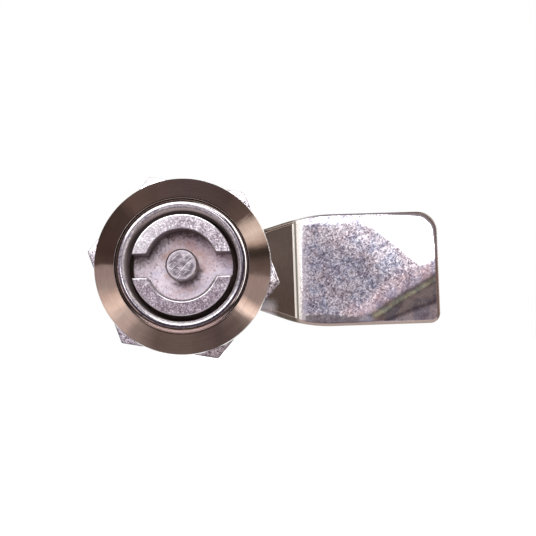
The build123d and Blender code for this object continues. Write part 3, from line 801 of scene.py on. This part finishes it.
cards = [  # bearing, half width, polar from, polar to, softness, colour, strength
    (0, 200, -1, 58, 8, "#b4acb8", 1.2),
    (10, 80, 20, 58, 8, "#65606d", 1.6),
    (-90, 75, 40, 62, 8, "#9a9098", 1.5),
    (-145, 40, 14, 46, 8, "#7a7080", 1.5),
    (0, 200, 80, 140, 8, "#4b403c", 1.0),
    (22, 26, 82, 135, 8, "#ffffff", 1.3),
    (0, 200, 140, 190, 8, "#ffffff", 1.1),
    (0, 14, 84, 98, 3, "#6a5e58", 1.0),
]
for centre, half, start, end, blur, colour, strength in cards:
    off = add(tree, "Math", jagged, -float(centre), operation="ADD")
    off = add(tree, "Math", off, 180.0, -180.0, operation="WRAP")
    off = add(tree, "Math", off, operation="ABSOLUTE")
    wide = add(tree, "MapRange", off, half + blur / 2, half - blur / 2, **smooth)
    away = add(tree, "Math", polar, -(start + end) / 2, operation="ADD")
    away = add(tree, "Math", away, operation="ABSOLUTE")
    tall = add(tree, "MapRange", away, (end - start + blur) / 2, (end - start - blur) / 2, **smooth)
    paint = tuple(c * strength for c in linear(colour)[:3]) + (1,)
    shade = add(tree, "Mix", add(tree, "Math", wide, tall, operation="MULTIPLY"), shade, paint, **mixed)

# Strip light: a long narrow lamp that starts above the lens, passes over the lock's upper right
# and ends at the right behind it. It is a slice of the sphere of directions, and the ring of
# sectors that the flange's cone mirrors stands in front of it.
strip_axis, strip_bearing, ring_polar = (-0.71, 0.615, 0.3415), 58.0, 73.0
height = add(tree, "VectorMath", toward, strip_axis, operation="DOT_PRODUCT")
strip = add(tree, "MapRange", height, -0.53, -0.48, **smooth)
strip_to = add(tree, "MapRange", height, 0.26, 0.14, **smooth)
strip = add(tree, "Math", strip, strip_to, operation="MULTIPLY")
off = add(tree, "Math", bearing, -strip_bearing, operation="ADD")
off = add(tree, "Math", off, operation="ABSOLUTE")
strip_ends = add(tree, "MapRange", off, 96.0, 84.0, **smooth)
strip = add(tree, "Math", strip, strip_ends, operation="MULTIPLY")
shade = add(tree, "Mix", strip, shade, (4.0, 4.0, 4.0, 1), **mixed)
away = add(tree, "Math", polar, -ring_polar, operation="ADD")
away = add(tree, "Math", away, operation="ABSOLUTE")
on_ring = add(tree, "MapRange", away, 13.0, 11.0, **smooth)
shade = add(tree, "Mix", on_ring, shade, lit, **mixed)

# Behind the lens: a white tent with the lens's opening in it, and a dark stand to the lower
# right. The cam's arm is flat and bright, so it mirrors these shapes.
side = add(tree, "Math", axes[0], forward, operation="DIVIDE")
side = add(tree, "Math", side, degree, operation="MULTIPLY")
rise = add(tree, "Math", axes[2], forward, operation="DIVIDE")
rise = add(tree, "Math", rise, degree, operation="MULTIPLY")
ragged = 0.3  # degrees by which the shapes' edges wander
wobble = add(tree, "TexNoise", toward, 22.0, 2.0, 0.5)[0]
near = add(tree, "MapRange", polar, 14.0, 11.0, **smooth)
shapes = [  # colour, strength, softness in degrees, then lines as a point and the way inward
    ("#ffffff", 7.0, 0.2, [(2.9, -6, 1, 0)]),
    ("#b7b0b8", 1.45, 0.14, [(5, 5.5, 0, -1), (6.54, 5.44, -0.53, -0.85), (7.65, 4.74, -0.66, -0.75)]),
    ("#c6bfc3", 1.75, 1.4, [(5, 4.6, 0, 1), (5, 5.6, 0, -1), (7.4, 5, -1, 0)]),
    ("#dcd7dc", 2.3, 2.2, [(7.7, 3.3, 0.64, 0.77), (8.45, 4.1, -0.64, -0.77), (5, 5.6, 0, -1)]),
    ("#ffffff", 9.0, 0.14, [(7.65, 4.74, 0.66, 0.75), (9.4, 3.02, 0, 1)]),
    ("#8d8078", 1.4, 0.14, [(9.2, 3.0, 0, -1), (7.65, 4.74, 0.66, 0.75)]),
    ("#cabbbe", 2.0, 0.7, [(7.9, 2.45, 0.5, -0.87)]),
    ("#8d7f74", 1.3, 0.3, [(7.87, 1.5, 0.5, -0.87)]),
    ("#a9a78a", 1.7, 0.2, [(7.87, 1.31, 0.5, -0.87)]),
    ("#7f716a", 1.2, 0.14, [(7.87, 1.08, 0.5, -0.87)]),
    ("#94867f", 1.3, 0.2, [(7.87, 0.98, 0.5, -0.87)]),
    ("#6f6262", 1.2, 0.15, [(7.89, 0.62, 0.32, -0.95)]),
    ("#a89a98", 1.5, 0.25, [(7.89, 0.4, 0.32, -0.95)]),
    ("#efe4e6", 1.9, 1.0, [(-3.5, 0, -1, 0), (-5, 0.6, 0, -1)]),
]
for colour, strength, blur, lines in shapes:
    mask = near
    for x, z, across, up in lines:
        far = add(tree, "Math", side, float(across), -x * across - z * up, operation="MULTIPLY_ADD")
        far = add(tree, "Math", rise, float(up), far, operation="MULTIPLY_ADD")
        far = add(tree, "Math", wobble, ragged, far, operation="MULTIPLY_ADD")
        inward = add(tree, "MapRange", far, ragged / 2 - blur / 2, ragged / 2 + blur / 2, **smooth)
        mask = add(tree, "Math", mask, inward, operation="MULTIPLY")
    paint = tuple(c * strength for c in linear(colour)[:3]) + (1,)
    shade = add(tree, "Mix", mask, shade, paint, **mixed)
seen_directly = add(tree, "LightPath")["Is Camera Ray"]
shade = add(tree, "Mix", seen_directly, shade, "#ffffff", **mixed)
add(tree, "OutputWorld", add(tree, "Background", shade))

# Floor: a plain sheet of white paper, laid flat a few fingers' width under the lock. The metal
# does not mirror it. Matt paper gives the eye a soft even ground with no gloss.
floor_below = 45 * mm
bpy.ops.mesh.primitive_plane_add(size=6, location=(0, 0, cad_low.z - floor_below))
floor = bpy.context.object
floor.name = "floor"
sheet, tree, place = material_named("paper_matt")
fibres = add(tree, "TexNoise", place, 0.8, 4.0, 0.6)[0]
tone = add(tree, "ValToRGB", fibres, stops=[(0.3, "#f0f0f0"), (0.7, "#f6f6f6")])[0]
shader = add(tree, "BsdfPrincipled", Base_Color=tone, Roughness=0.9, Emission_Color="#ffffff",
             Emission_Strength=0.45)
add(tree, "OutputMaterial", shader)
floor.data.materials.append(sheet)
floor.visible_glossy = False
floor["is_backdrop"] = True

# Camera: a hand's length in front of the face, low and a little to the right of the lock axis. It
# looks slightly up at the face and is tilted by two degrees.
stand = Vector((9.24, -173.38, -10.72)) * mm
yaw, pitch_up, roll = (math.radians(a) for a in (1.386, 3.322, -1.886))
looking = Vector((math.sin(yaw) * math.cos(pitch_up), math.cos(yaw) * math.cos(pitch_up), math.sin(pitch_up)))
untilted = Vector((math.cos(yaw), -math.sin(yaw), 0))
over = untilted.cross(looking)
across = math.cos(roll) * untilted + math.sin(roll) * over
upward = -math.sin(roll) * untilted + math.cos(roll) * over
camera = bpy.data.objects.new("camera", bpy.data.cameras.new("camera"))
bpy.context.scene.collection.objects.link(camera)
camera.data.lens = 73.67
camera.data.clip_start = 0.01
facing_lock = Matrix((across, upward, -looking)).transposed().to_4x4()
camera.matrix_world = Matrix.Translation(stand) @ facing_lock
bpy.context.scene.camera = camera
bpy.context.scene.view_settings.view_transform = "Standard"

low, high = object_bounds()
